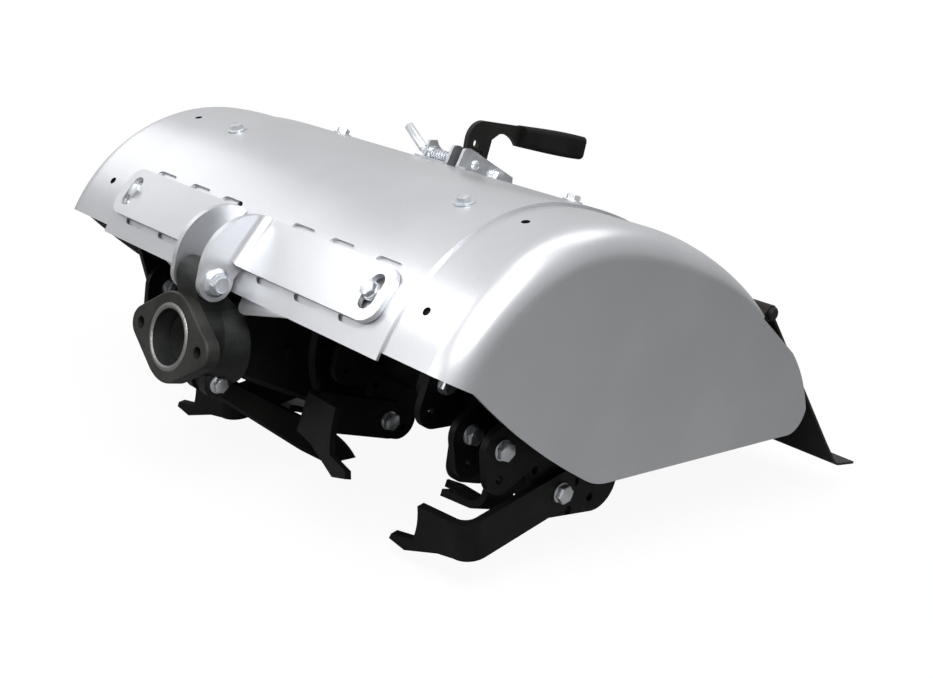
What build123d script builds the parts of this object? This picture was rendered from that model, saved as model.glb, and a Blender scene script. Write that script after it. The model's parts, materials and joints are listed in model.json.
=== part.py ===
"""Rotary tiller attachment for a two-wheel tractor, in millimetres.

X runs along the rotor, Y points rearward and Z up. The origin lies on the floor
under the middle of the machine. The rotor stands on its tines and the rear on the depth skid.
"""

import os
from math import cos, radians, sin

from build123d import *

os.makedirs("parts", exist_ok=True)

# Rotor and hood share one axis
rotor_y, rotor_z = -143, 156
half_width = 335
skin = 3

# Hood profile: a front arc about the rotor axis, then a flatter rear arc tangent to it
front_radius = 203
rear_radius = 424
join_angle = 86
rear_angle = 49.2
rear_centre_y = rotor_y + (front_radius - rear_radius) * cos(radians(join_angle))
rear_centre_z = rotor_z + (front_radius - rear_radius) * sin(radians(join_angle))

# Hood centre sheet, which laps over the two side sections
centre_left, centre_right = -230, 246
centre_mid = (centre_left + centre_right) / 2
centre_lip_angle = 160
side_lip_angle = 157.8
side_start = 48

# Input coupling, tipped up at the front
input_y, input_z = -385, 177
input_tip = 7.7
pilot_radius = 28
pilot_depth = 20
stud_spacing = 104

# Rear hinge and depth lever
hinge_y, hinge_z = 134, 253
lever_x = 25
pivot_y, pivot_z = -5, 339
plunger_y, plunger_z = -40, 352

# Rotor flanges and tines
bolt_circle = 70
bolt_hole = 6.2
tine_thickness = 8
tine_width = 41


def save(solid, label):
    solid.label = label
    export_step(solid, f"parts/{label}.step")


def side(x):
    """Side view plane at x: its own x axis is Y and its own y axis is Z."""
    return Plane(origin=(x, 0, 0), x_dir=(0, 1, 0), z_dir=(1, 0, 0))


def about_rotor(radius, angle):
    return (rotor_y + radius * cos(radians(angle)), rotor_z + radius * sin(radians(angle)))


def rear_point(radius, angle):
    return (
        rear_centre_y + radius * cos(radians(angle)),
        rear_centre_z + radius * sin(radians(angle)),
    )


def tangent(angle, radius, x=0):
    """Plane that touches the hood's front arc at an angle; its y axis runs up the hood."""
    y, z = about_rotor(radius, angle)
    facing = (0, cos(radians(angle)), sin(radians(angle)))
    return Plane(origin=(x, y, z), x_dir=(1, 0, 0), z_dir=facing)


def hood_strip(outer, lip_angle):
    """Closed section of one hood sheet whose outer face lies at the given front radius."""
    rear = rear_radius - front_radius + outer
    with BuildSketch(side(0)) as strip:
        with BuildLine():
            CenterArc((rotor_y, rotor_z), outer, join_angle, lip_angle - join_angle)
            CenterArc((rear_centre_y, rear_centre_z), rear, rear_angle, join_angle - rear_angle)
            Line(rear_point(rear, rear_angle), rear_point(rear - skin, rear_angle))
            CenterArc(
                (rear_centre_y, rear_centre_z), rear - skin, rear_angle, join_angle - rear_angle
            )
            CenterArc((rotor_y, rotor_z), outer - skin, join_angle, lip_angle - join_angle)
            Line(about_rotor(outer - skin, lip_angle), about_rotor(outer, lip_angle))
        make_face()
    return strip.sketch


# Hood centre: one rolled sheet, with windows beside the brackets and a slot for the lever
bracket_angle = 145
window_length, window_height, window_corner = 36, 70, 6
window_places = [61, 122, 189]  # from the sheet's middle to each side
slot_front, slot_rear, slot_width = -64, 60, 14
with BuildPart() as hood_centre:
    extrude(hood_strip(front_radius, centre_lip_angle), amount=centre_right - centre_mid, both=True)
    with BuildSketch(tangent(bracket_angle, front_radius + 10)):
        for place in window_places:
            with Locations((place, 0), (-place, 0)):
                RectangleRounded(window_length, window_height, window_corner)
    extrude(amount=-40, mode=Mode.SUBTRACT)
    with BuildSketch(Plane.XY.offset(rotor_z + front_radius / 2)):
        with Locations((lever_x - centre_mid, (slot_front + slot_rear) / 2)):
            SlotOverall(slot_rear - slot_front, slot_width, rotation=90)
    extrude(amount=front_radius, mode=Mode.SUBTRACT)
save(hood_centre.part.translate((centre_mid, 0, 0)), "hood_centre")

# Side sections: the same profile under the centre sheet, rounded over into an end plate.
# The rounding is full at the front and fades to a crease at the rear hinge.
lap_gap = 0.05
side_radius = front_radius - skin - lap_gap
side_rear_radius = rear_radius - skin - lap_gap
end_radius = 30
crown_depth = 40
crown_stations = [(86, 30), (76, 28.5), (67, 23.5), (58, 14), (49.2, 5)]  # angle, end radius
hole_places = [(270, 144), (270, 106.5)]  # x, angle of the spare holes


def crown_section(plane, rounding):
    """Sheet section across the hood: top, rounded corner and the end plate's upper strip."""
    with BuildSketch(plane) as section:
        with BuildLine():
            Line((side_start, 0), (half_width - rounding, 0))
            CenterArc((half_width - rounding, -rounding), rounding, 0, 90)
            Line((half_width, -rounding), (half_width, -crown_depth))
            Line((half_width, -crown_depth), (half_width - skin, -crown_depth))
            Line((half_width - skin, -crown_depth), (half_width - skin, -rounding))
            CenterArc((half_width - rounding, -rounding), rounding - skin, 0, 90)
            Line((half_width - rounding, -skin), (side_start, -skin))
            Line((side_start, -skin), (side_start, 0))
        make_face()
    return section.sketch


def crown_plane(centre_y, centre_z, radius, angle):
    """Plane that holds the X axis and a radius of the hood; its y axis points outward."""
    out_y, out_z = cos(radians(angle)), sin(radians(angle))
    origin = (0, centre_y + radius * out_y, centre_z + radius * out_z)
    return Plane(origin=origin, x_dir=(1, 0, 0), z_dir=(0, -out_z, out_y))


with BuildPart() as hood_side_right:
    front = crown_section(crown_plane(rotor_y, rotor_z, side_radius, join_angle), end_radius)
    revolve(front, Axis((0, rotor_y, rotor_z), (1, 0, 0)), side_lip_angle - join_angle)
    loft(
        [
            crown_section(
                crown_plane(rear_centre_y, rear_centre_z, side_rear_radius, angle), rounding
            )
            for angle, rounding in crown_stations
        ]
    )
    with BuildSketch(side(half_width - skin)) as end_plate:
        with BuildLine():
            plate_radius = side_radius - crown_depth + 2
            rear_inner = side_rear_radius - crown_depth + 2
            lip_corner = about_rotor(side_radius - end_radius, side_lip_angle)
            Line(about_rotor(plate_radius, side_lip_angle), lip_corner)
            ThreePointArc(lip_corner, (-215, 158.4), (-140, 116))
            ThreePointArc((-140, 116), (-121, 107.8), (-100, 105))
            Line((-100, 105), (212, 105))
            CenterArc((212, 133), 28, -90, 90)
            ThreePointArc((240, 133), (221, 167), (186, 205))
            Line((186, 205), rear_point(side_rear_radius - 5, rear_angle))
            Line(
                rear_point(side_rear_radius - 5, rear_angle), rear_point(rear_inner, rear_angle)
            )
            CenterArc(
                (rear_centre_y, rear_centre_z), rear_inner, rear_angle, join_angle - rear_angle
            )
            Line(rear_point(rear_inner, join_angle), about_rotor(plate_radius, join_angle))
            CenterArc((rotor_y, rotor_z), plate_radius, join_angle, side_lip_angle - join_angle)
        make_face()
    extrude(amount=skin)
    for x, angle in hole_places:
        with BuildSketch(tangent(angle, front_radius, x)):
            Circle(4)
        extrude(amount=-2 * skin, mode=Mode.SUBTRACT)
save(hood_side_right.part, "hood_side_right")
save(hood_side_right.part.mirror(Plane.YZ), "hood_side_left")

# Gear case: a drum about the rotor axis with ribbed faces, and a tapering arm to the input neck
case_half, arm_half = 33, 27
drum_radius, hub_radius = 92, 50
case_front_y = -318
arm_y, arm_z, arm_radius = -286, 172, 46
rib_depth = 5
shaft_radius, shaft_gap = 24, 0.5
with BuildPart() as gear_case:
    with BuildSketch(side(0)):
        with Locations((arm_y, arm_z)):
            Circle(arm_radius)
        with Locations((rotor_y, rotor_z)):
            Circle(drum_radius - 6)
        make_hull()
        with Locations((case_front_y, arm_z)):
            Rectangle(60, 66, align=(Align.MIN, Align.CENTER))
    extrude(amount=arm_half, both=True)
    chamfer(gear_case.edges().filter_by(Axis.X, reverse=True).group_by(Axis.X)[-1], 5)
    chamfer(gear_case.edges().filter_by(Axis.X, reverse=True).group_by(Axis.X)[0], 5)
    with BuildSketch(Plane(origin=(0, rotor_y, rotor_z), x_dir=(1, 0, 0), z_dir=(0, 0, 1))):
        with BuildLine():
            Polyline(
                (0, 0), (case_half + 8, 0), (case_half + 8, hub_radius - 4), (case_half + 4, hub_radius),
                (case_half - rib_depth, hub_radius + 4), (case_half - rib_depth, drum_radius - 14),
                (case_half, drum_radius - 12), (case_half, drum_radius - 5),
                (case_half - 5, drum_radius), (0, drum_radius), close=True,
            )
        make_face()
        mirror(about=Plane.YZ)
    revolve(axis=Axis((0, rotor_y, rotor_z), (1, 0, 0)))
    for x, outward in ((case_half - rib_depth, 1), (rib_depth - case_half, -1)):
        with BuildSketch(side(x)):
            with Locations((rotor_y, rotor_z)):
                with PolarLocations((hub_radius + drum_radius) / 2 - 4, 6):
                    Rectangle(drum_radius - hub_radius - 4, 6)
        extrude(amount=outward * (rib_depth - 1))
    split(bisect_by=Plane(origin=(0, case_front_y, 0), z_dir=(0, 1, 0)), keep=Keep.TOP)
    with Locations((0, rotor_y, rotor_z)):
        Cylinder(shaft_radius + shaft_gap, 200, rotation=(0, 90, 0), mode=Mode.SUBTRACT)
save(gear_case.part, "gear_case")

# Input neck: coupling flange, a stepped recess with room for the dogs, an ear boss and a low lug
tip_cos, tip_sin = cos(radians(input_tip)), sin(radians(input_tip))
input_plane = Plane(origin=(0, input_y, input_z), x_dir=(1, 0, 0), z_dir=(0, -tip_cos, tip_sin))
neck_section = Plane(origin=(0, input_y, input_z), x_dir=(1, 0, 0), z_dir=(0, tip_sin, tip_cos))
flange_thickness = 14
flange_radius = 45
stud_radius, stud_lobe = 6, 17
neck_radius = 37
dog_room_radius, dog_room_depth = 26, 50
ear_y, ear_z = -353, 236
low_y, low_z = -336, 129
boss_half = 18
ripper_half = 6
pin_hole = 6.2
with BuildPart() as input_neck:
    with BuildSketch(input_plane):
        Circle(flange_radius)
        with Locations((-stud_spacing / 2, 0), (stud_spacing / 2, 0)):
            Circle(stud_lobe)
        make_hull()
    extrude(amount=-flange_thickness)
    chamfer(input_neck.faces().sort_by(Axis.Y)[0].edges(), 1.5)
    with BuildSketch(neck_section):
        with BuildLine():
            Line((0, flange_thickness - 2), (neck_radius + 5, flange_thickness - 2))
            Line((neck_radius + 5, flange_thickness - 2), (neck_radius + 5, flange_thickness))
            RadiusArc((neck_radius + 5, flange_thickness), (neck_radius, flange_thickness + 5), 5)
            Polyline((neck_radius, flange_thickness + 5), (neck_radius, 40), (44, 74), (0, 74))
            Line((0, 74), (0, flange_thickness - 2))
        make_face()
    revolve(axis=Axis((0, input_y, input_z), (0, -tip_cos, tip_sin)))
    with BuildSketch(side(0)):
        with Locations((ear_y, ear_z)):
            Circle(17)
        with BuildLine():
            Polyline((-370, 236), (-337, 236), (-337, 222), (-322, 208), (-322, 180), (-363, 185), close=True)
        make_face()
        with Locations((low_y, low_z)):
            Circle(15)
        with BuildLine():
            Polyline((-351, 129), (-352, 167), (-316, 167), (-316, 129), (-336, 121), close=True)
        make_face()
    extrude(amount=boss_half, both=True)
    split(bisect_by=Plane(origin=(0, case_front_y, 0), z_dir=(0, -1, 0)), keep=Keep.TOP)
    with BuildSketch(input_plane):
        Circle(pilot_radius)
    extrude(amount=-pilot_depth, mode=Mode.SUBTRACT)
    with BuildSketch(input_plane):
        Circle(dog_room_radius)
    extrude(amount=-dog_room_depth, mode=Mode.SUBTRACT)
    with BuildSketch(input_plane):
        with Locations((-stud_spacing / 2, 0), (stud_spacing / 2, 0)):
            Circle(stud_radius)
    extrude(amount=-flange_thickness, mode=Mode.SUBTRACT)
    with Locations((0, ear_y, ear_z), (0, low_y, low_z)):
        Cylinder(pin_hole, 100, rotation=(0, 90, 0), mode=Mode.SUBTRACT)
    with Locations((0, -345, 120)):
        Box(2 * ripper_half + 0.6, 60, 44, mode=Mode.SUBTRACT)
save(input_neck.part, "input_neck")

# Jaw coupler: three dogs on the end of the input shaft, in the neck behind the pilot recess
dog_inner, dog_outer, dog_sweep = 11, 25, 58
dog_height = 14
with BuildPart() as jaw_coupler:
    with BuildSketch(input_plane.offset(-pilot_depth - 1 - dog_height)):
        Circle(dog_outer)
        Circle(9, mode=Mode.SUBTRACT)
    extrude(amount=-13)
    with BuildSketch(input_plane.offset(-pilot_depth - 1)):
        with PolarLocations(0, 3, start_angle=90):
            with BuildLine():
                half_sweep = radians(dog_sweep / 2)
                for end in (-1, 1):
                    Line(
                        (dog_inner * cos(half_sweep), end * dog_inner * sin(half_sweep)),
                        (dog_outer * cos(half_sweep), end * dog_outer * sin(half_sweep)),
                    )
                CenterArc((0, 0), dog_outer, -dog_sweep / 2, dog_sweep)
                CenterArc((0, 0), dog_inner, -dog_sweep / 2, dog_sweep)
            make_face()
    extrude(amount=-dog_height - 1)
save(jaw_coupler.part, "jaw_coupler")

# Front brackets: sheet bent from a plate on the hood into an ear on the neck boss
bracket_thickness = 6
bracket_bend = 12
ear_inner = boss_half + 2
ear_radius = 19
plate_end = 228
plate_low, plate_high = -30, 27
slot_x, slot_height = 208, 36
bracket_plane = tangent(bracket_angle, front_radius + 0.1)
plate_mid_y, plate_mid_z = about_rotor(front_radius + 0.1, bracket_angle)
plate_up_y, plate_up_z = sin(radians(bracket_angle)), -cos(radians(bracket_angle))


def on_plate(up, out=0):
    """Side-view point on the bracket plate's back, moved out from it along its normal."""
    return (
        plate_mid_y + up * plate_up_y - out * plate_up_z,
        plate_mid_z + up * plate_up_z + out * plate_up_y,
    )


bend_plane = Plane(
    origin=(0, plate_mid_y, plate_mid_z), x_dir=(1, 0, 0), z_dir=(0, plate_up_y, plate_up_z)
)
bend_end = ear_inner + bracket_thickness + bracket_bend
with BuildPart() as bracket_right:
    with BuildSketch(bend_plane.offset(plate_low)):
        with BuildLine() as bent_sheet:
            sheet_mid = bracket_thickness / 2
            FilletPolyline(
                (bend_end + 1, -sheet_mid), (ear_inner + sheet_mid, -sheet_mid),
                (ear_inner + sheet_mid, -40), radius=bracket_bend + sheet_mid,
            )
        trace(bent_sheet.line, bracket_thickness)
    extrude(amount=plate_high - plate_low)
    with BuildSketch(side(ear_inner)) as ear:
        with BuildLine():
            Polyline(on_plate(plate_high), on_plate(plate_high, bracket_thickness + 2), (-310, 301))
            ThreePointArc((-310, 301), (-349, 289), (-370, 253))
            Polyline(
                (-370, 253), (ear_y - ear_radius, ear_z), (ear_y, ear_z - ear_radius), (-340, 230),
                on_plate(plate_low), on_plate(plate_high),
            )
        make_face()
        with Locations((ear_y, ear_z)):
            Circle(ear_radius)
    extrude(ear.sketch, amount=bend_end, mode=Mode.INTERSECT)
    extrude(ear.sketch, amount=bracket_thickness)
    with BuildSketch(bracket_plane):
        with BuildLine():
            corner = 18
            Polyline((plate_end - corner, plate_low), (bend_end, plate_low), (bend_end, plate_high))
            Line((bend_end, plate_high), (plate_end - corner, plate_high))
            RadiusArc((plate_end - corner, plate_high), (plate_end, plate_high - corner), corner)
            Line((plate_end, plate_high - corner), (plate_end, plate_low + corner))
            RadiusArc((plate_end, plate_low + corner), (plate_end - corner, plate_low), corner)
        make_face()
        with Locations((slot_x, -1)):
            SlotOverall(slot_height, 17, rotation=90, mode=Mode.SUBTRACT)
    extrude(amount=bracket_thickness)
    with Locations((0, ear_y, ear_z)):
        Cylinder(pin_hole, 100, rotation=(0, 90, 0), mode=Mode.SUBTRACT)
save(bracket_right.part, "bracket_right")
save(bracket_right.part.mirror(Plane.YZ), "bracket_left")

# Ear bolt through both ears and the neck boss
bolt_radius, bolt_head_height = 6, 8
with BuildPart() as ear_bolt:
    ear_outer = ear_inner + bracket_thickness
    with Locations((0, ear_y, ear_z)):
        Cylinder(bolt_radius, 2 * ear_outer + 16, rotation=(0, 90, 0))
        Cylinder(12, 2 * ear_outer + 5, rotation=(0, 90, 0))
        Cylinder(12, 2 * ear_outer, rotation=(0, 90, 0), mode=Mode.SUBTRACT)
        Cylinder(bolt_radius, 2 * ear_outer, rotation=(0, 90, 0))
    for x in (ear_outer + 2.5, -ear_outer - 2.5 - bolt_head_height):
        with BuildSketch(side(x)):
            with Locations((ear_y, ear_z)):
                RegularPolygon(10.4, 6)
        extrude(amount=bolt_head_height)
save(ear_bolt.part, "ear_bolt")

# Centre ripper: a bent bar under the case that breaks the strip between the inner tines
with BuildPart() as centre_ripper:
    with BuildSketch(side(0)):
        with BuildLine():
            Polyline((-344, 120), (-336, 141), (-322, 133), (-175, 50))
            ThreePointArc((-175, 50), (-152, 33), (-132, 10))
            Polyline((-132, 10), (-172, 9), (-212, 32), (-344, 120))
        make_face()
        with Locations((low_y, low_z)):
            Circle(12)
            Circle(pin_hole, mode=Mode.SUBTRACT)
    extrude(amount=ripper_half, both=True)
    chamfer(
        centre_ripper.edges().filter_by(lambda e: e.center().Z < 45 and abs(e.center().X) > 1), 3
    )
save(centre_ripper.part, "centre_ripper")

# Rotor shaft: plain through the case, with a tube and a collar beside each flange
rotor_end = 312
tube_radius, collar_radius = 30, 37
plate_thickness = 8
with BuildPart() as rotor_shaft:
    with Locations((0, rotor_y, rotor_z)):
        Cylinder(shaft_radius, 2 * rotor_end, rotation=(0, 90, 0))
    for x, radius, length in (
        (44, tube_radius, 25), (52, collar_radius, 12), (77, tube_radius, 123),
        (208, collar_radius, 14), (222, tube_radius, 23), (253, tube_radius, 34),
        (266, collar_radius, 12), (295, tube_radius, 12),
    ):
        for start in (x, -x - length):
            with BuildSketch(side(start)):
                with Locations((rotor_y, rotor_z)):
                    Circle(radius)
            extrude(amount=length)
    chamfer(rotor_shaft.edges().group_by(Axis.X)[0], 2)
    chamfer(rotor_shaft.edges().group_by(Axis.X)[-1], 2)
save(rotor_shaft.part, "rotor_shaft")

# Name, x where the flange starts, x of the tines' back, the way they bend, first bolt, tines
flange_table = [
    ("inner", 69, 77, 1, -107.4, 2),
    ("mid", 200, 200, -1, -17.3, 2),
    ("joint", 245, 253, -1, -78.4, 0),
    ("outer", 287, 303, -1, -78.4, 2),
    ("inner", -77, -77, -1, -81.4, 2),
    ("mid", -208, -200, 1, -17.3, 2),
    ("joint", -253, -253, 1, 16, 0),
    ("outer", -295, -303, 1, 16, 2),
]

# Tine: a strip swept back from its bolt, bent along the rotor, with a flared hooked end
sweep_angle = 15.7
tine_bend = 17
tine_reach = 107
half = tine_width / 2
seat_angle = -78.4
bolt_y, bolt_z = bolt_circle * cos(radians(seat_angle)), bolt_circle * sin(radians(seat_angle))
along_y, along_z = -cos(radians(sweep_angle)), -sin(radians(sweep_angle))
strip_plane = Plane(
    origin=(0, rotor_y + bolt_y, rotor_z + bolt_z), x_dir=(1, 0, 0), z_dir=(0, along_z, -along_y)
)
blade_plane = Plane(origin=strip_plane.origin, x_dir=(1, 0, 0), z_dir=(0, along_y, along_z))
with BuildPart() as tine:
    with BuildSketch(strip_plane):
        with BuildLine() as run:
            FilletPolyline(
                (-4, half), (-4, -118), (-tine_reach - 5, -127), radius=tine_bend
            )
        trace(run.line, tine_thickness)
    extrude(amount=2 * tine_width, both=True)
    with BuildSketch(blade_plane):
        with BuildLine():
            Polyline((4, half), (-62, half))
            ThreePointArc((-62, half), (-66, -4), (-74, -23))
            Polyline(
                (-74, -23), (-103, -28), (-tine_reach, -35), (-87, -40.5), (-41, -24),
                (-20, -half), (4, -half), (4, half),
            )
        make_face()
    extrude(amount=200, both=True, mode=Mode.INTERSECT)
    fillet(tine.edges().filter_by(Axis.X).sort_by(Axis.Y)[-2:], 14)
    with Locations((0, rotor_y + bolt_y, rotor_z + bolt_z)):
        Cylinder(bolt_hole, 60, rotation=(0, 90, 0), mode=Mode.SUBTRACT)


def lobes(circles, first, count):
    """Rounded lobes: one hull of (distance from the rotor, angle from the bolt, radius) each."""
    for turn in range(count):
        with BuildSketch(mode=Mode.PRIVATE) as lobe:
            for distance, ahead, radius in circles:
                with PolarLocations(distance, 1, start_angle=first + ahead + turn * 360 / count):
                    Circle(radius)
            make_hull()
        add(lobe.sketch)


# A flange's lobes, and the spare holes in them
small_lobe = [(30, 0, 34), (70, 0, 22), (74, 20, 21)]
large_lobe = [(30, 0, 34), (70, -3, 29), (106, 35, 31)]
small_holes = [(47, -36, 4.5), (80, 22, 4.5)]
large_holes = [(104, 11, 4.5), (112, 27, 4.5), (106, 44, 4.5)]
rotor_axis = Axis((0, rotor_y, rotor_z), (1, 0, 0))
rotor_solids = {"tine_flanges": [], "tines_inner": [], "tines_mid": [], "tines_outer": []}
for name, start, seat, bend, first, count in flange_table:
    for turn in range(count):
        one = tine.part.mirror(Plane.YZ) if bend > 0 else tine.part
        one = one.rotate(rotor_axis, first - seat_angle + turn * 360 / count)
        rotor_solids["tines_" + name].append(one.translate((seat, 0, 0)))
    with BuildPart() as flange:
        with BuildSketch(side(start)):
            with Locations((rotor_y, rotor_z)):
                Circle(52)
                lobes(small_lobe, first, 4)
                if name == "outer":
                    lobes(large_lobe, first, 2)
                Circle(tube_radius, mode=Mode.SUBTRACT)
                with PolarLocations(bolt_circle, 4, start_angle=first):
                    Circle(bolt_hole, mode=Mode.SUBTRACT)
                for radius, ahead, hole in small_holes:
                    with PolarLocations(radius, 4, start_angle=first + ahead):
                        Circle(hole, mode=Mode.SUBTRACT)
                if name == "outer":
                    for radius, ahead, hole in large_holes:
                        with PolarLocations(radius, 2, start_angle=first + ahead):
                            Circle(hole, mode=Mode.SUBTRACT)
        extrude(amount=plate_thickness)
    rotor_solids["tine_flanges"].append(flange.part)
for name, solids in rotor_solids.items():
    save(Compound([piece for solid in solids for piece in solid.solids()]), name)

# Rear flap: one sheet on the hinge rod, curled out along its lower edge
rod_radius, knuckle_radius = 5, 9
flap_half, flap_skin = 332, 3
hood_knuckles = [(-330, -290), (-120, -80), (80, 120), (290, 330)]
flap_knuckles = [(-289, -249), (-79, -39), (39, 79), (249, 289)]
with BuildPart() as rear_flap:
    with BuildSketch(side(0)):
        with BuildLine() as sheet:
            FilletPolyline((139, 247), (306, 83), (346, 45), (390.67, 40), radius=26)
        trace(sheet.line, flap_skin)
    extrude(amount=flap_half, both=True)
    for start, end in hood_knuckles:
        with Locations(((start + end) / 2, hinge_y, hinge_z)):
            Cylinder(knuckle_radius + 2, end - start + 2, rotation=(0, 90, 0), mode=Mode.SUBTRACT)
    for start, end in flap_knuckles:
        with BuildSketch(side(start)):
            with Locations((hinge_y, hinge_z)):
                Circle(knuckle_radius)
        extrude(amount=end - start)
    with Locations((0, hinge_y, hinge_z)):
        Cylinder(rod_radius + 0.3, 2 * half_width, rotation=(0, 90, 0), mode=Mode.SUBTRACT)
save(rear_flap.part, "rear_flap")

with BuildPart() as hinge_rod:
    with Locations((0, hinge_y, hinge_z)):
        Cylinder(rod_radius, 2 * half_width - 4, rotation=(0, 90, 0))
save(hinge_rod.part, "hinge_rod")

# Hood knuckles, each with a leaf under the hood's rear edge
with BuildPart() as hood_hinges:
    for start, end in hood_knuckles:
        under = side_rear_radius - skin - 0.1
        with BuildSketch(side(start)):
            with Locations((hinge_y, hinge_z)):
                Circle(knuckle_radius)
            with BuildLine():
                Polyline(
                    rear_point(under, 51), rear_point(under, rear_angle), (hinge_y, hinge_z + 7),
                    (hinge_y, hinge_z - 7), rear_point(under - 7, 50.5), close=True,
                )
            make_face()
        extrude(amount=end - start)
    with Locations((0, hinge_y, hinge_z)):
        Cylinder(rod_radius, 2 * half_width, rotation=(0, 90, 0), mode=Mode.SUBTRACT)
save(hood_hinges.part, "hood_hinges")

# Depth lever bracket: two tapering cheeks with feet, and a retainer plate for the plunger
cheek_thickness, cheek_gap = 4, 14
lever_thickness = 6
retainer_x, retainer_thickness = -36, 3
left_cheek = lever_x - cheek_gap / 2 - cheek_thickness
right_cheek = lever_x + cheek_gap / 2
plunger_radius = 4
# Start x, end x and rear end of each strip of the base
base_strips = [(retainer_x, left_cheek + cheek_thickness, -14), (right_cheek, right_cheek + 16, 22)]
with BuildPart() as depth_bracket:
    for x in (left_cheek, right_cheek):
        with BuildSketch(side(x)) as cheek:
            with BuildLine():
                Polyline((-66, 330), (-66, 349), (-58, 370), (-49, 370), (22, 338), (24, 310), close=True)
            make_face()
            fillet(cheek.vertices().sort_by(Axis.Y)[-3:], 4)
        extrude(amount=cheek_thickness)
    with BuildSketch(side(retainer_x)):
        with BuildLine():
            Polyline((-17, 354), (-17, 320), (-54, 320), (-54, 348), (-47, 367), (-36, 367))
            RadiusArc((-36, 367), (-17, 354), -20)
        make_face()
    extrude(amount=retainer_thickness)
    for start, end, rear in base_strips:
        with BuildSketch(side(start)):
            with BuildLine():
                Polyline((-66, 320), (-66, 360), (rear, 360), (rear, 300), close=True)
            make_face()
            with Locations((rear_centre_y, rear_centre_z)):
                Circle(rear_radius + 2.2, mode=Mode.INTERSECT)
        extrude(amount=end - start)
    with Locations((0, pivot_y, pivot_z), (0, plunger_y, plunger_z)):
        Cylinder(plunger_radius + 0.2, 200, rotation=(0, 90, 0), mode=Mode.SUBTRACT)
    with BuildSketch(side(0)):
        with Locations((rear_centre_y, rear_centre_z)):
            Circle(rear_radius + 0.2)
    extrude(amount=200, both=True, mode=Mode.SUBTRACT)
save(depth_bracket.part, "depth_bracket")

# Plunger: a pin through the retainer and the left cheek, bent over into a handle
with BuildPart() as plunger_pin:
    with BuildLine() as pin_line:
        FilletPolyline(
            (lever_x - lever_thickness / 2 - 1, plunger_y, plunger_z),
            (-47, plunger_y, plunger_z),
            (-79.5, plunger_y, plunger_z + 22.5),
            radius=7,
        )
    with BuildSketch(Plane(origin=pin_line.line @ 0, z_dir=pin_line.line % 0)):
        Circle(plunger_radius)
    sweep()
    with Locations((-4, plunger_y, plunger_z)):
        Cylinder(6.5, 3, rotation=(0, 90, 0))
save(plunger_pin.part, "plunger_pin")

# Depth lever: a flat plate on the pivot, handle above the hood and skid arm behind the rotor
arm_lean = -69
arm_half_width = 12
reach_y, reach_z = cos(radians(arm_lean)), sin(radians(arm_lean))
elbow = 190  # from the pivot to the arm's bend
index_holes = [(-34.9, 374.5, 4.5), (-26.8, 363.2, 3.2)]  # y, z, radius


def on_arm(along, behind):
    return (pivot_y + along * reach_y - behind * reach_z, pivot_z + along * reach_z + behind * reach_y)


sole_thickness = 6
with BuildPart() as depth_lever:
    with BuildSketch(side(lever_x - lever_thickness / 2)) as lever:
        with BuildLine():
            Polyline(
                on_arm(0, arm_half_width), on_arm(elbow, arm_half_width), (74, sole_thickness),
                (50, sole_thickness), on_arm(elbow, -arm_half_width), on_arm(14, -arm_half_width),
                (-50, 344), (-48, 380),
            )
            ThreePointArc((-48, 380), (-41.6, 393), (-27, 399.4))
            Polyline((-27, 399.4), (35.46, 394.4), (33, 372), (29, 372))
            ThreePointArc((29, 372), (16, 382.8), (-1, 385.3))
            Polyline((-1, 385.3), (-11.5, 379), (-15.5, 356), on_arm(0, arm_half_width))
        make_face()
        for y, z, radius in index_holes:
            with Locations((y, z)):
                Circle(radius, mode=Mode.SUBTRACT)
        with Locations((plunger_y, plunger_z)):
            Circle(plunger_radius + 0.3, mode=Mode.SUBTRACT)
        with Locations((pivot_y, pivot_z)):
            Circle(plunger_radius + 0.3, mode=Mode.SUBTRACT)
    extrude(amount=lever_thickness)
save(depth_lever.part, "depth_lever")

with BuildPart() as lever_pivot:
    with Locations((lever_x, pivot_y, pivot_z)):
        Cylinder(plunger_radius, cheek_gap + 2 * cheek_thickness + 8, rotation=(0, 90, 0))
save(lever_pivot.part, "lever_pivot")

# Grip: a rubber sleeve over the lever's end, fuller toward its tip
grip_start = 34.35
grip_sections = [(0, 20, 24), (30, 22, 26), (80, 24, 28), (106, 22, 27)]  # along, width, height
with BuildPart() as lever_grip:
    for along, width, height in grip_sections:
        origin = (lever_x, grip_start + along, 383.2 - 0.11 * along)
        with BuildSketch(Plane(origin=origin, x_dir=(1, 0, 0), z_dir=(0, 1, -0.11))):
            RectangleRounded(width, height, 6)
    loft()
    fillet(lever_grip.faces().sort_by(Axis.Y)[-1].edges(), 4)
save(lever_grip.part, "lever_grip")

# Skid foot under the arm, turned up at both ends
with BuildPart() as depth_skid:
    with BuildSketch(side(lever_x - 25)):
        with BuildLine() as sole:
            FilletPolyline((34, 22), (46, 3), (110, 3), (126, 14), radius=12)
        trace(sole.line, sole_thickness)
    extrude(amount=50)
save(depth_skid.part, "depth_skid")
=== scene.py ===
from math import cos, pi, radians, sin

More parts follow.
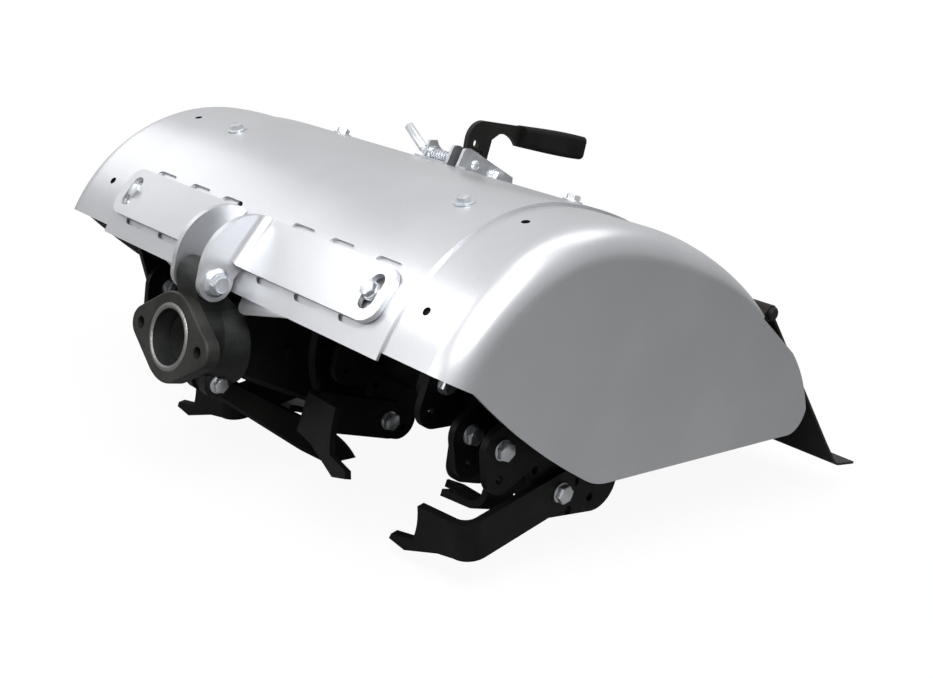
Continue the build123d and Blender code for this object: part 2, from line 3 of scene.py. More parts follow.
import bmesh
import bpy
from mathutils import Matrix, Vector
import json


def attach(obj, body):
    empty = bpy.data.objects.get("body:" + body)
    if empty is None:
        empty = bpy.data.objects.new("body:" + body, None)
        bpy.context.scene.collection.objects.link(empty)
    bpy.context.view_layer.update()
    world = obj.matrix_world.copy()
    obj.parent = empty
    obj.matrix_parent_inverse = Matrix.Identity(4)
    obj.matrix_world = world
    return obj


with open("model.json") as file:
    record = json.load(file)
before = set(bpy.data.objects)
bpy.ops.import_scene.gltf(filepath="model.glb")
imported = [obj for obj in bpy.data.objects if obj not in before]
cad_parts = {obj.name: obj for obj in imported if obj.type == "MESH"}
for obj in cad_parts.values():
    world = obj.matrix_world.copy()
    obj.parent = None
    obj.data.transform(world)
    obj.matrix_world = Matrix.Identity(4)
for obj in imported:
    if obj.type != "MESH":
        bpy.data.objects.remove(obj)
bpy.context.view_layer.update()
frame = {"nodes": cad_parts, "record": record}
cadNodes = frame["nodes"]
print("frame loaded, nodes:", len(cadNodes))

# Camera: its place in metres, its turn, downward tip and roll in radians
view = {
    "place": (1.01704, -1.01107, 0.54441),
    "turn": 0.7779,
    "tip": 0.275,
    "roll": 0.1416,
    "lens": 48.65,
    "sensor": 36,
}
camera = bpy.data.objects.new("camera", bpy.data.cameras.new("camera"))
camera.data.lens = view["lens"]
camera.data.sensor_width = view["sensor"]
camera.matrix_world = (
    Matrix.Translation(view["place"])
    @ Matrix.Rotation(view["turn"], 4, "Z")
    @ Matrix.Rotation(pi / 2 - view["tip"], 4, "X")
    @ Matrix.Rotation(view["roll"], 4, "Z")
)
bpy.context.scene.collection.objects.link(camera)
bpy.context.scene.camera = camera
bpy.context.scene.view_settings.view_transform = "Standard"

# Four soft panels
panels = {
    "key": {"place": (-2.15, -0.5, 1.4), "aim": (0, -0.1, 0.25), "size": (1.3, 0.9), "power": 4.8},
    "front": {"place": (-0.6, -2.4, 0.8), "aim": (0, -0.2, 0.2), "size": (1.8, 1.0), "power": 13},
    "right": {"place": (1.15, -1.1, 1.85), "aim": (0.2, -0.1, 0.25), "size": (1.6, 1.0), "power": 57},
    "top": {"place": (0.35, 0.6, 2.3), "aim": (0.1, 0.1, 0.2), "size": (0.9, 2.4), "power": 12},
}

# Two narrow beams: width in degrees, and the radius of the lamp
beams = {
    "neck": {
        "place": (0.25, -1.35, 0.42), "aim": (0, -0.365, 0.175), "width": 7, "radius": 0.04, "power": 3,
    },
    "corner": {
        "place": (-0.43, -0.9, 1.02), "aim": (0.34, -0.24, 0.24), "width": 17, "radius": 0.16, "power": 15,
    },
}


def placeLamp(light, lamp):
    light.energy = lamp["power"]
    lampObject = bpy.data.objects.new(light.name, light)
    place = Vector(lamp["place"])
    aim = (Vector(lamp["aim"]) - place).to_track_quat("-Z", "Y")
    lampObject.matrix_world = Matrix.Translation(place) @ aim.to_matrix().to_4x4()
    bpy.context.scene.collection.objects.link(lampObject)


for name, lamp in panels.items():
    light = bpy.data.lights.new(name, "AREA")
    light.shape = "RECTANGLE"
    light.size, light.size_y = lamp["size"]
    placeLamp(light, lamp)
for name, lamp in beams.items():
    light = bpy.data.lights.new(name, "SPOT")
    light.spot_size = radians(lamp["width"])
    light.spot_blend = 1.0
    light.shadow_soft_size = lamp["radius"]
    placeLamp(light, lamp)
print("camera and lamps placed")


# A value in a material's node tree, so that shader maths reads as arithmetic
class Value:
    def __init__(self, shader, socket):
        self.shader, self.socket = shader, socket

    def join(self, operation, first, second):
        return self.shader.node("Math", {"operation": operation}, {0: first, 1: second})

    def __add__(self, other):
        return self.join("ADD", self, other)

    def __radd__(self, other):
        return self.join("ADD", other, self)

    def __sub__(self, other):
        return self.join("SUBTRACT", self, other)

    def __rsub__(self, other):
        return self.join("SUBTRACT", other, self)

    def __mul__(self, other):
        return self.join("MULTIPLY", self, other)

    def __rmul__(self, other):
        return self.join("MULTIPLY", other, self)

    def __gt__(self, other):
        return self.join("GREATER_THAN", self, other)

    def __lt__(self, other):
        return self.join("LESS_THAN", self, other)

    def __abs__(self):
        return self.shader.node("Math", {"operation": "ABSOLUTE"}, {0: self})

    # The larger of the two, which joins masks
    def either(self, other):
        return self.join("MAXIMUM", self, other)

    # 0 below low, 1 above high, smooth between
    def ramp(self, low, high):
        return self.shader.node(
            "MapRange",
            {"interpolation_type": "SMOOTHSTEP"},
            {"Value": self, "From Min": low, "From Max": high, "To Min": 0.0, "To Max": 1.0},
        )


class Shader:
    def __init__(self, tree):
        self.tree = tree
        tree.nodes.clear()

    # kind without its ShaderNode prefix; settings first, then values or links for its sockets
    def node(self, kind, settings=None, inputs=None, output=0):
        made = self.tree.nodes.new("ShaderNode" + kind)
        for key, value in (settings or {}).items():
            setattr(made, key, value)
        for key, value in (inputs or {}).items():
            if isinstance(value, Value):
                self.tree.links.new(value.socket, made.inputs[key])
            else:
                made.inputs[key].default_value = value
        return Value(self, made.outputs[output] if made.outputs else None)

    def blend(self, mask, first, second):
        made = self.tree.nodes.new("ShaderNodeMix")
        made.data_type = "RGBA"
        for index, value in ((0, mask), (6, first), (7, second)):
            if isinstance(value, Value):
                self.tree.links.new(value.socket, made.inputs[index])
            else:
                made.inputs[index].default_value = value if index == 0 else (*value, 1)
        return Value(self, made.outputs[2])

    def noise(self, place, scale, detail):
        return self.node("TexNoise", {}, {"Vector": place, "Scale": scale, "Detail": detail})

    def part(self, place, axis):
        return self.node("SeparateXYZ", {}, {"Vector": place}, axis)

    def bump(self, height, strength, distance):
        return self.node("Bump", {}, {"Height": height, "Strength": strength, "Distance": distance})

    def output(self, surface, kind="OutputMaterial"):
        self.node(kind, {}, {"Surface": surface})

    def surface(self, **sockets):
        inputs = {key.replace("_", " "): value for key, value in sockets.items()}
        self.output(self.node("BsdfPrincipled", {}, inputs))

    # 1 for what the camera sees, also through a clear surface, and 0 for the light on the object
    def seenDirectly(self):
        looks = [self.node("LightPath", output=ray) for ray in ("Is Camera Ray", "Is Transmission Ray")]
        return (looks[0] + looks[1]) > 0.5


def newMaterial(name):
    material = bpy.data.materials.new(name)
    material.use_nodes = True
    shader = Shader(material.node_tree)
    return material, shader, shader.node("TexCoord", output="Object")


# White backdrop for the camera; the object gets soft light that grows upward and to the left
backdrop = {
    "white": 1.0, "low": 0.38, "high": 0.66, "left": 0.12,
    "rise": (-0.25, 0.9), "leftward": (-0.2, 0.9),
}
world = bpy.data.worlds.new("studio")
world.use_nodes = True
bpy.context.scene.world = world
shader = Shader(world.node_tree)
seen = shader.seenDirectly()
direction = shader.node("TexCoord", output="Generated")
upward = shader.part(direction, "Z").ramp(*backdrop["rise"])
leftward = (shader.part(direction, "X") * -1.0).ramp(*backdrop["leftward"])
softLight = upward * (backdrop["high"] - backdrop["low"]) + leftward * backdrop["left"] + backdrop["low"]
strength = softLight + seen * (backdrop["white"] - softLight)
shader.output(shader.node("Background", {}, {"Color": (1, 1, 1, 1), "Strength": strength}), "OutputWorld")

# Paper floor: it keeps the shadow near the object and fades to white further out
paper = {"radius": 9, "tone": 0.2, "toneSeen": 0.8, "shade": 0.07, "fade": (0.5, 1.3)}
bm = bmesh.new()
bmesh.ops.create_circle(bm, cap_ends=True, segments=64, radius=paper["radius"])
floorMesh = bpy.data.meshes.new("floor")
bm.to_mesh(floorMesh)
bm.free()
floor = bpy.data.objects.new("floor", floorMesh)
bpy.context.scene.collection.objects.link(floor)
floorMaterial, shader, place = newMaterial("floorPaper")
seen = shader.seenDirectly()
matt = shader.node("BsdfDiffuse", {}, {"Color": seen * (paper["toneSeen"] - paper["tone"]) + paper["tone"]})
white = shader.node("Emission", {}, {"Color": (1, 1, 1, 1), "Strength": 1.0})
distance = shader.node("VectorMath", {"operation": "LENGTH"}, {0: place}, "Value")
near = 1.0 - distance.ramp(*paper["fade"])
clean = seen * (1.0 - near * paper["shade"])
shader.output(shader.node("MixShader", {}, {0: clean, 1: matt, 2: white}))
floor.data.materials.append(floorMaterial)
print("floor and background made")


# Silver paint of the hood; the walls of the spare holes in the side sections get painted shade, a near-black
# colour standing in for their shadow
silver = {
    "dark": (0.555, 0.565, 0.59), "light": (0.605, 0.615, 0.64), "flake": (0.72, 0.725, 0.74),
    "holeShade": (0.012, 0.012, 0.013),
}
spareHoles = {"x": 0.270, "angles": (144, 106.5), "y": -0.143, "z": 0.156, "middle": 0.1985, "reach": 0.00437}


# 1 within reach of the middle of a spare hole, where the hole's walls are painted dark as shade
def paintedHoleShade(shader, place):
    aside = abs(shader.part(place, "X")) - spareHoles["x"]
    edges = []
    for angle in spareHoles["angles"]:
        back = shader.part(place, "Y") - (spareHoles["y"] + spareHoles["middle"] * cos(radians(angle)))
        above = shader.part(place, "Z") - (spareHoles["z"] + spareHoles["middle"] * sin(radians(angle)))
        edges.append(aside * aside + back * back + above * above < spareHoles["reach"] ** 2)
    return sum(edges)


def hoodPaint():
    material, shader, place = newMaterial("hoodPaint")
    cloud = shader.noise(place, 7, 3)
    flake = shader.noise(place, 1400, 1)
    peel = shader.noise(place, 260, 2)
    tone = shader.blend(cloud.ramp(0.35, 0.7), silver["dark"], silver["light"])
    tone = shader.blend(flake.ramp(0.45, 0.75) * 0.35, tone, silver["flake"])
    # Painted shade: the spare holes' walls get a near-black colour and a rougher surface
    edges = paintedHoleShade(shader, place)
    shader.surface(
        Base_Color=shader.blend(edges, tone, silver["holeShade"]), Metallic=0.85,
        Roughness=cloud * 0.06 + 0.33 + edges * 0.4, Coat_Weight=0.25, Coat_Roughness=0.2,
        Normal=shader.bump(peel, 0.06, 0.0006),
    )
    return material


def blackPaint(name, colour, rough, grain, depth, shine):
    material, shader, place = newMaterial(name)
    cloud = shader.noise(place, 22, 4)
    pits = shader.noise(place, grain, 3)
    worn = tuple(channel * 1.9 for channel in colour)
    shader.surface(
        Base_Color=shader.blend(cloud.ramp(0.4, 0.75), colour, worn), Metallic=0.0,
        Roughness=cloud * 0.16 + rough, Specular_IOR_Level=shine, Normal=shader.bump(pits, 0.35, depth),
    )
    return material


# Input neck in metres: centre and tilt of its face, flange thickness, radii of its machined ring, and the
# radius of the recess that gets painted shade
neck = {
    "face": (0, -0.385, 0.177), "tip": radians(7.7), "flange": 0.014, "boss": 0.047,
    "ringInner": 0.0275, "ringOuter": 0.0335, "recess": 0.0287,
}
casting = {
    "ironDark": (0.02, 0.02, 0.018), "ironLight": (0.038, 0.0375, 0.0345),
    "blackDark": (0.008, 0.0085, 0.0085), "blackLight": (0.02, 0.021, 0.021),
    "machined": (0.26, 0.26, 0.25), "raggedEdge": 0.004,
}


# Bare iron on the coupling flange, black paint behind it and above it, painted shade in the recess, and a
# machined ring
def bareCasting():
    material, shader, place = newMaterial("bareCasting")
    cloud = shader.noise(place, 30, 4)
    pits = shader.noise(place, 420, 3)
    aside = shader.part(place, "X")
    back = shader.part(place, "Y") - neck["face"][1]
    up = shader.part(place, "Z") - neck["face"][2]
    behind = back * cos(neck["tip"]) - up * sin(neck["tip"])
    above = up * cos(neck["tip"]) + back * sin(neck["tip"])
    ragged = cloud * casting["raggedEdge"]
    blackPaintAndShade = (behind + ragged).ramp(neck["flange"] + 0.001, neck["flange"] + 0.003)
    blackPaintAndShade = blackPaintAndShade.either((above + ragged).ramp(neck["boss"], neck["boss"] + 0.003))
    across = above * above + aside * aside
    # Painted shade: the inside of the coupling recess gets the black paint's colour
    blackPaintAndShade = blackPaintAndShade.either((across < neck["recess"] ** 2) * (behind > 0.001))
    machined = (across < neck["ringOuter"] ** 2) * (across > neck["ringInner"] ** 2) * (behind < 0.0004)
    patches = cloud.ramp(0.35, 0.7)
    iron = shader.blend(patches, casting["ironDark"], casting["ironLight"])
    black = shader.blend(patches, casting["blackDark"], casting["blackLight"])
    shader.surface(
        Base_Color=shader.blend(machined, shader.blend(blackPaintAndShade, iron, black), casting["machined"]),
        Metallic=(1.0 - blackPaintAndShade) * 0.45 + machined * 0.45, Specular_IOR_Level=0.3,
        Roughness=cloud * 0.15 + 0.36 - machined * 0.12, Normal=shader.bump(pits, 0.45, 0.0009),
    )
    return material


def zincPlate():
    material, shader, place = newMaterial("zincPlate")
    cloud = shader.noise(place, 90, 3)
    scratch = shader.noise(place, 300, 2)
    shader.surface(
        Base_Color=shader.blend(cloud.ramp(0.3, 0.7), (0.6, 0.63, 0.67), (0.74, 0.76, 0.78)),
        Metallic=0.9, Roughness=cloud * 0.08 + 0.27, Normal=shader.bump(scratch, 0.03, 0.0002),
    )
    return material


def forgedSteel():
    material, shader, place = newMaterial("forgedSteel")
    cloud = shader.noise(place, 60, 3)
    grain = shader.noise(place, 800, 2)
    shader.surface(
        Base_Color=shader.blend(cloud.ramp(0.3, 0.7), (0.62, 0.62, 0.6), (0.82, 0.82, 0.8)),
        Metallic=0.15, Roughness=cloud * 0.15 + 0.42, Normal=shader.bump(grain, 0.12, 0.0004),
    )
    return material


def gripRubber():
    material, shader, place = newMaterial("gripRubber")
    cloud = shader.noise(place, 25, 2)
    grain = shader.noise(place, 900, 2)
    shader.surface(
        Base_Color=shader.blend(cloud.ramp(0.3, 0.7), (0.004, 0.004, 0.0042), (0.008, 0.008, 0.0083)),
        Roughness=cloud * 0.1 + 0.55, Specular_IOR_Level=0.1, Normal=shader.bump(grain, 0.25, 0.0005),
    )
    return material


finishes = {
    "hood_paint": hoodPaint(),
    "cast_black": blackPaint("castBlack", (0.003, 0.003, 0.0034), 0.42, 260, 0.0012, 0.2),
    "cast_bare": bareCasting(),
    "tine_steel": blackPaint("tineBlack", (0.003, 0.0034, 0.003), 0.38, 500, 0.0006, 0.17),
    "zinc": zincPlate(),
    "black_steel": blackPaint("sheetBlack", (0.0035, 0.0031, 0.0027), 0.38, 700, 0.0004, 0.3),
    "grip_rubber": gripRubber(),
}
for part in frame["record"]["subparts"]:
    slots = cadNodes[part["node"]].data.materials
    slots.clear()
    slots.append(finishes[part["material_slot"]])
cadNodes["jaw_coupler"].data.materials[0] = forgedSteel()
print("finishes assigned")


def mergeInto(target, made):
    temporary = bpy.data.meshes.new("temporary")
    made.to_mesh(temporary)
    made.free()
    target.from_mesh(temporary)
    bpy.data.meshes.remove(temporary)


sharpAngle = radians(35)  # edges that turn more than this stay crisp


# Each part is made in a bmesh about its own centre, placed by a matrix and joined into one piece
def addPiece(name, parts, finish, body):
    joined = bmesh.new()
    for made, matrix in parts:
        bmesh.ops.transform(made, matrix=matrix, verts=made.verts)
        mergeInto(joined, made)
    mesh = bpy.data.meshes.new(name)
    joined.to_mesh(mesh)
    joined.free()
    mesh.shade_smooth()
    mesh.set_sharp_from_angle(angle=sharpAngle)
    mesh.materials.append(finishes[finish])
    piece = bpy.data.objects.new(name, mesh)
    bpy.context.scene.collection.objects.link(piece)
    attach(piece, body)


# Frame of a flat seat: z along the given direction, at a point in metres, turned by radians
def seat(point, facing, turn=0):
    aim = Vector(facing).to_track_quat("Z", "Y").to_matrix().to_4x4()
    return Matrix.Translation(point) @ aim @ Matrix.Rotation(turn, 4, "Z")


def bevelEdges(bm, edges, width):
    bmesh.ops.bevel(
        bm, geom=edges, offset=width, offset_type="OFFSET", affect="EDGES", segments=2, profile=0.5,
        material=-1,
    )


# A disc with bevelled rims, from z = bottom upward; a hexagon keeps its lower rim sharp
def prism(radius, height, sides, bevel, bottom=0.0):
    bm = bmesh.new()
    bmesh.ops.create_cone(
        bm, cap_ends=True, cap_tris=False, segments=sides, radius1=radius, radius2=radius, depth=height
    )
    bmesh.ops.translate(bm, vec=(0, 0, height / 2 + bottom), verts=bm.verts)
    rims = [edge for edge in bm.edges if abs(edge.verts[0].co.z - edge.verts[1].co.z) < 1e-7]
    if sides == 6:
        rims = [edge for edge in rims if edge.verts[0].co.z > bottom + height / 2]
    bevelEdges(bm, rims, bevel)
    return bm


fastener = {
    "loose": 0.0018, "looseBevel": 0.0004, "flange": 0.0016, "flangeBevel": 0.0005, "flangeRise": 0.0012,
    "bevel": 0.0007, "topShare": 0.94, "top": 0.0005, "topBevel": 0.0002, "topSink": 0.0001,
    "endBevelShare": 0.18,
}


# Hexagon head on a flange of the given radius, with an optional loose washer under it
def hexHead(across, height, flange=0.0, washer=0.0, washerThick=fastener["loose"]):
    bm = bmesh.new()
    bottom = 0.0
    if washer:
        mergeInto(bm, prism(washer, washerThick, 40, fastener["looseBevel"]))
        bottom = washerThick
    if flange:
        mergeInto(bm, prism(flange, fastener["flange"], 36, fastener["flangeBevel"], bottom))
        bottom += fastener["flangeRise"]
    mergeInto(bm, prism(across / 2 / cos(pi / 6), height, 6, fastener["bevel"], bottom))
    top = bottom + height - fastener["topSink"]
    mergeInto(bm, prism(across / 2 * fastener["topShare"], fastener["top"], 30, fastener["topBevel"], top))
    return bm


# Hexagon nut on a loose washer, with the bolt's end standing out of it
def hexNut(across, height, bolt, standOut, washer):
    bm = hexHead(across, height, washer=washer)
    mergeInto(bm, prism(bolt, standOut, 24, bolt * fastener["endBevelShare"], height + fastener["loose"]))
    return bm


# Turned body about z from a closed outline of (radius, z)
def turned(outline, steps=48):
    bm = bmesh.new()
    verts = [bm.verts.new((radius, 0, z)) for radius, z in outline]
    edges = [bm.edges.new(pair) for pair in zip(verts, verts[1:] + verts[:1])]
    bmesh.ops.spin(
        bm, geom=verts + edges, cent=(0, 0, 0), axis=(0, 0, 1), angle=2 * pi, steps=steps,
        use_merge=True, use_duplicate=False,
    )
    bmesh.ops.remove_doubles(bm, verts=bm.verts, dist=1e-6)
    bmesh.ops.recalc_face_normals(bm, faces=bm.faces)
    return bm


# Hood profile in metres: a front arc about the rotor axis and a wider rear arc, joined at an angle
hood = {"rotor": (-0.143, 0.156), "front": 0.203, "rear": 0.424, "join": 86}


# Point on the hood's outer face and the direction it faces, at x and degrees about the arc's centre
def onHood(x, angle, lift=0.0):
    y, z = hood["rotor"]
    outY, outZ = cos(radians(angle)), sin(radians(angle))
    radius = hood["front"] + lift
    if angle < hood["join"]:
        back = hood["front"] - hood["rear"]
        y += back * cos(radians(hood["join"]))
        z += back * sin(radians(hood["join"]))
        radius = hood["rear"] + lift
    return Vector((x, y + radius * outY, z + radius * outZ)), Vector((0, outY, outZ))


# Bolts through the hood's centre sheet into the side sections, with nuts inside
hoodBolts = {
    "across": 0.013, "height": 0.0055, "flange": 0.0105, "nut": 0.0065, "bolt": 0.004, "standOut": 0.004,
    "washer": 0.008, "sheets": 0.0062, "aside": 0.008, "turnPerMetre": 900,
    "places": [(-0.188, 108), (0.188, 108), (-0.188, 76), (0.188, 76)],
}
bolts = []
for x, angle in hoodBolts["places"]:
    point, facing = onHood(x + hoodBolts["aside"], angle)
    head = hexHead(hoodBolts["across"], hoodBolts["height"], hoodBolts["flange"])
    bolts.append((head, seat(point, facing, radians(x * hoodBolts["turnPerMetre"]))))
    point, facing = onHood(x + hoodBolts["aside"], angle, -hoodBolts["sheets"])
    nut = hexNut(
        hoodBolts["across"], hoodBolts["nut"], hoodBolts["bolt"], hoodBolts["standOut"], hoodBolts["washer"]
    )
    bolts.append((nut, seat(point, -facing)))
addPiece("hood_bolts", bolts, "zinc", "frame")

# Bolts in the bracket slots
slotBolts = {
    "across": 0.014, "height": 0.006, "flange": 0.0086, "nut": 0.0065, "bolt": 0.004, "standOut": 0.004,
    "washer": 0.0092, "washerThick": 0.0024, "sheets": 0.0062, "x": 0.203, "angle": 145, "turn": 0.4,
}
bolts = []
for side in (-1, 1):
    point, facing = onHood(side * slotBolts["x"], slotBolts["angle"])
    head = hexHead(
        slotBolts["across"], slotBolts["height"], slotBolts["flange"], slotBolts["washer"],
        slotBolts["washerThick"],
    )
    bolts.append((head, seat(point, facing, side * slotBolts["turn"])))
    point, facing = onHood(side * slotBolts["x"], slotBolts["angle"], -slotBolts["sheets"])
    nut = hexNut(
        slotBolts["across"], slotBolts["nut"], slotBolts["bolt"], slotBolts["standOut"], slotBolts["washer"]
    )
    bolts.append((nut, seat(point, -facing)))
addPiece("slot_bolts", bolts, "zinc", "frame")

# Stiffener tongues inside the hood's front lip, beside the neck: outline of (x, angle)
tongue = {
    "lift": -0.0062, "thick": 0.003, "bevel": 0.0004,
    "outline": [
        (0.034, 158), (0.034, 162.8), (0.0355, 163.8), (0.039, 164.5), (0.046, 164.6), (0.108, 160.2),
        (0.112, 158),
    ],
}
plates = []
for side in (-1, 1):
    bm = bmesh.new()
    bm.faces.new([bm.verts.new(onHood(side * x, angle, tongue["lift"])[0]) for x, angle in tongue["outline"]])
    for item in bmesh.ops.extrude_face_region(bm, geom=bm.faces[:])["geom"]:
        if isinstance(item, bmesh.types.BMVert):
            inward = Vector((item.co.x, *hood["rotor"])) - item.co
            item.co += inward.normalized() * tongue["thick"]
    bmesh.ops.recalc_face_normals(bm, faces=bm.faces)
    bevelEdges(bm, bm.edges[:], tongue["bevel"])
    plates.append((bm, Matrix()))
addPiece("lip_tongues", plates, "hood_paint", "frame")
print("hood dressed")

# Ear bolt: flared flanges and chamfered ends on the solid bolt
earBolt = {
    "y": -0.353, "z": 0.236, "inner": 0.0261, "end": 0.0365,
    "flare": [(0.0062, 0), (0.0142, 0), (0.0142, 0.0014), (0.0112, 0.0044), (0.0062, 0.0044)],
    "cap": [(0, 0), (0.0087, 0), (0.0084, 0.0006), (0.0076, 0.001), (0.006, 0.0007), (0, 0.0006)],
}
bolts = []
for side in (-1, 1):
    for outline, x in ((earBolt["flare"], earBolt["inner"]), (earBolt["cap"], earBolt["end"])):
        bolts.append((turned(outline), seat((side * x, earBolt["y"], earBolt["z"]), (side, 0, 0))))
addPiece("ear_bolt_flanges", bolts, "zinc", "frame")

# Bolt that holds the ripper in the neck's low lug, with its nut on the other side
lowBolt = {
    "y": -0.336, "z": 0.129, "half": 0.018, "turn": 0.3, "across": 0.014, "height": 0.006, "nut": 0.0065,
    "bolt": 0.005, "standOut": 0.004, "washer": 0.0098, "washerThick": 0.0022,
}
head = hexHead(
    lowBolt["across"], lowBolt["height"], washer=lowBolt["washer"], washerThick=lowBolt["washerThick"]
)
nut = hexNut(lowBolt["across"], lowBolt["nut"], lowBolt["bolt"], lowBolt["standOut"], lowBolt["washer"])
bolts = []
for side, made in ((-1, nut), (1, head)):
    place = seat((side * lowBolt["half"], lowBolt["y"], lowBolt["z"]), (side, 0, 0), lowBolt["turn"])
    bolts.append((made, place))
addPiece("ripper_bolt", bolts, "zinc", "frame")

# Machined ring round the coupling recess
pilotRing = [(0.028, 0), (0.0336, 0), (0.0334, 0.0003), (0.0312, 0.0011), (0.0296, 0.0011), (0.0283, 0.0002)]
outward = (0, -cos(neck["tip"]), sin(neck["tip"]))
addPiece("pilot_ring", [(turned(pilotRing, 72), seat(neck["face"], outward))], "cast_bare", "frame")

# Gear case: bolts round both covers, a level plug, a drain plug and shaft seals
case = {
    "side": 0.033, "circle": 0.0835, "count": 8, "across": 0.010, "height": 0.0045, "flange": 0.0062,
    "hub": 0.041, "seal": [(0.0245, 0), (0.031, 0), (0.031, 0.0009), (0.029, 0.0016), (0.0245, 0.0016)],
}
plugs = {
    "level": {"place": (0.027, -0.262, 0.158), "facing": (1, 0, 0), "across": 0.014, "flange": 0.0095},
    "drain": {"place": (0, -0.143, 0.064), "facing": (0, 0, -1), "across": 0.017, "flange": 0.0115},
}
plugHeight = 0.006
bolts, seals = [], []
for side in (-1, 1):
    for turn in range(case["count"]):
        angle = 2 * pi * (turn + 0.5) / case["count"]
        y = hood["rotor"][0] + case["circle"] * cos(angle)
        z = hood["rotor"][1] + case["circle"] * sin(angle)
        head = hexHead(case["across"], case["height"], case["flange"])
        bolts.append((head, seat((side * case["side"], y, z), (side, 0, 0), angle)))
    seals.append((turned(case["seal"]), seat((side * case["hub"], *hood["rotor"]), (side, 0, 0))))
for plug in plugs.values():
    head = hexHead(plug["across"], plugHeight, plug["flange"])
    bolts.append((head, seat(plug["place"], plug["facing"])))
addPiece("case_bolts", bolts, "cast_black", "frame")
addPiece("shaft_seals", seals, "grip_rubber", "frame")
print("gear case dressed")

# Bolts through the flanges: x of the nut's face and the head's face, first angle, count
rotorBolts = {
    "circle": 0.070, "across": 0.017, "height": 0.007, "flange": 0.0104, "nut": 0.009, "bolt": 0.005,
    "standOut": 0.004, "washer": 0.0112,
    "rows": [
        (0.287, 0.303, -78.4, 2), (0.287, 0.295, 11.6, 2), (0.245, 0.253, 11.6, 2),
        (0.192, 0.208, -17.3, 2), (0.069, 0.085, -107.4, 2), (-0.069, -0.085, -81.4, 2),
        (-0.192, -0.208, -17.3, 2), (-0.245, -0.253, 106, 2), (-0.287, -0.303, 16, 2),
        (-0.287, -0.295, 106, 2),
    ],
}
bolts = []
for nutFace, headFace, first, count in rotorBolts["rows"]:
    side = 1 if headFace > nutFace else -1
    for turn in range(count):
        angle = radians(first + turn * 360 / count)
        y = hood["rotor"][0] + rotorBolts["circle"] * cos(angle)
        z = hood["rotor"][1] + rotorBolts["circle"] * sin(angle)
        head = hexHead(rotorBolts["across"], rotorBolts["height"], rotorBolts["flange"])
        bolts.append((head, seat((headFace, y, z), (side, 0, 0), angle)))
        nut = hexNut(
            rotorBolts["across"], rotorBolts["nut"], rotorBolts["bolt"], rotorBolts["standOut"],
            rotorBolts["washer"],
        )
        bolts.append((nut, seat((nutFace, y, z), (-side, 0, 0), angle)))
addPiece("rotor_bolts", bolts, "zinc", "rotor")

# Bolt and heavy washer on each end of the rotor shaft
shaftEnd = {"x": 0.312, "across": 0.019, "height": 0.008, "washer": 0.021, "washerThick": 0.004}
ends = []
for side in (-1, 1):
    head = hexHead(
        shaftEnd["across"], shaftEnd["height"], washer=shaftEnd["washer"], washerThick=shaftEnd["washerThick"]
    )
    ends.append((head, seat((side * shaftEnd["x"], *hood["rotor"]), (side, 0, 0))))
addPiece("shaft_ends", ends, "zinc", "rotor")
print("rotor dressed")

# Push-on caps on the hinge rod
rodCap = {
    "x": 0.3301, "y": 0.134, "z": 0.253,
    "outline": [(0, 0), (0.0074, 0), (0.0074, 0.003), (0.006, 0.0044), (0, 0.0047)],
}
caps = []
for side in (-1, 1):
    place = seat((side * rodCap["x"], rodCap["y"], rodCap["z"]), (side, 0, 0))
    caps.append((turned(rodCap["outline"]), place))
addPiece("rod_caps", caps, "black_steel", "frame")

# Plunger of the depth lever: centre line, sleeve on its handle, washers at the spring and its tip
plunger = {
    "y": -0.040, "z": 0.352,
    "handle": (-0.0505, -0.040, 0.3544), "lean": (-0.8222, 0, 0.5692), "sleeve": (0.0051, 0.0365, 32, 0.0007),
    "washers": [(-0.033, 1), (0.014, -1)],
    "washer": [(0.0042, 0), (0.0082, 0), (0.0082, 0.001), (0.0078, 0.0013), (0.0042, 0.0013)],
    "tipX": 0.036,
    "tip": [(0, 0), (0.0056, 0), (0.0054, 0.0012), (0.004, 0.0026), (0.002, 0.0032), (0, 0.0033)],
}

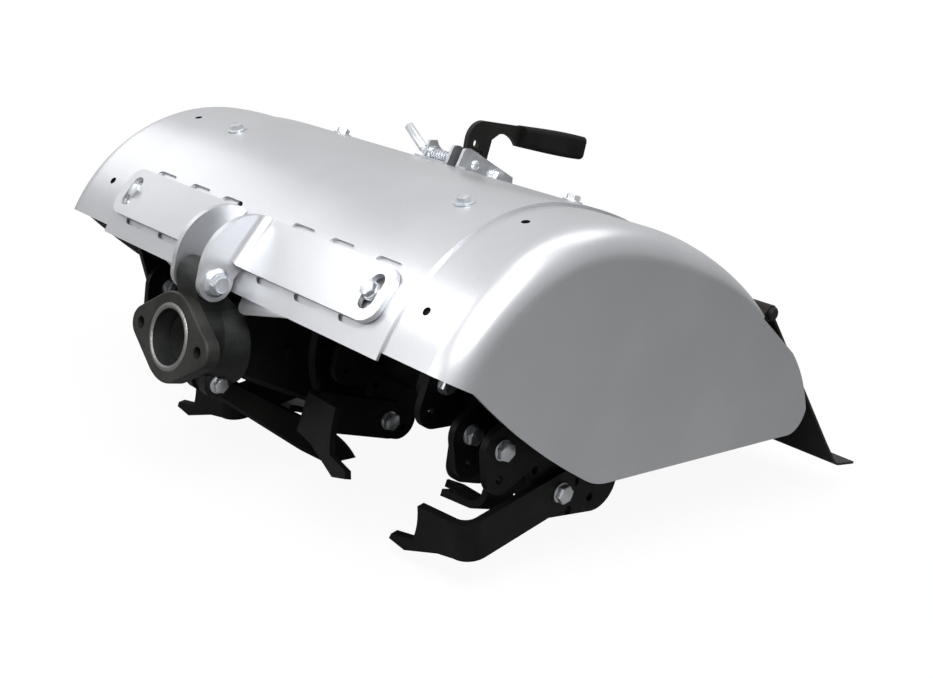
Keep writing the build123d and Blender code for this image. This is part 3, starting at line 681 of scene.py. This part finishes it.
# Its spring, wound with a spin that climbs along the pin
spring = {"wire": 0.0011, "radius": 0.0054, "turns": 11, "turnSteps": 20, "start": -0.0325, "end": 0.0135}
bm = bmesh.new()
bmesh.ops.create_circle(
    bm, cap_ends=True, segments=8, radius=spring["wire"],
    matrix=Matrix.Translation((0, spring["radius"], 0)) @ Matrix.Rotation(pi, 4, "Y"),
)
steps = spring["turns"] * spring["turnSteps"]
bmesh.ops.spin(
    bm, geom=bm.verts[:] + bm.edges[:] + bm.faces[:], cent=(0, 0, 0), axis=(1, 0, 0),
    dvec=((spring["end"] - spring["start"]) / steps, 0, 0), angle=spring["turns"] * 2 * pi, steps=steps,
    use_merge=False, use_duplicate=False,
)
bmesh.ops.recalc_face_normals(bm, faces=bm.faces)
springPlace = Matrix.Translation((spring["start"], plunger["y"], plunger["z"]))
addPiece("plunger_spring", [(bm, springPlace)], "zinc", "frame")

fittings = [(prism(*plunger["sleeve"]), seat(plunger["handle"], plunger["lean"]))]
for x, facing in plunger["washers"]:
    fittings.append((turned(plunger["washer"]), seat((x, plunger["y"], plunger["z"]), (facing, 0, 0))))
fittings.append((turned(plunger["tip"]), seat((plunger["tipX"], plunger["y"], plunger["z"]), (1, 0, 0))))
addPiece("plunger_fittings", fittings, "zinc", "frame")

# Pivot bolt of the depth lever
pivot = {
    "y": -0.005, "z": 0.339, "left": 0.014, "right": 0.036, "turn": 0.5, "across": 0.013, "height": 0.0055,
    "nut": 0.0065, "bolt": 0.004, "standOut": 0.003, "washer": 0.0092, "washerThick": 0.0016,
}
head = hexHead(pivot["across"], pivot["height"], washer=pivot["washer"], washerThick=pivot["washerThick"])
nut = hexNut(pivot["across"], pivot["nut"], pivot["bolt"], pivot["standOut"], pivot["washer"])
bolts = [
    (head, seat((pivot["right"], pivot["y"], pivot["z"]), (1, 0, 0), pivot["turn"])),
    (nut, seat((pivot["left"], pivot["y"], pivot["z"]), (-1, 0, 0))),
]
addPiece("pivot_bolt", bolts, "zinc", "frame")

# Weld beads between the arm and its skid
weld = {"x": (0.0218, 0.0282), "y": 0.051, "z": 0.0062, "bead": (0.0022, 0.022, 16, 0.0012)}
beads = [(prism(*weld["bead"]), seat((x, weld["y"], weld["z"]), (0, 1, 0))) for x in weld["x"]]
addPiece("skid_welds", beads, "black_steel", "depth_arm")
print("depth control detailed")
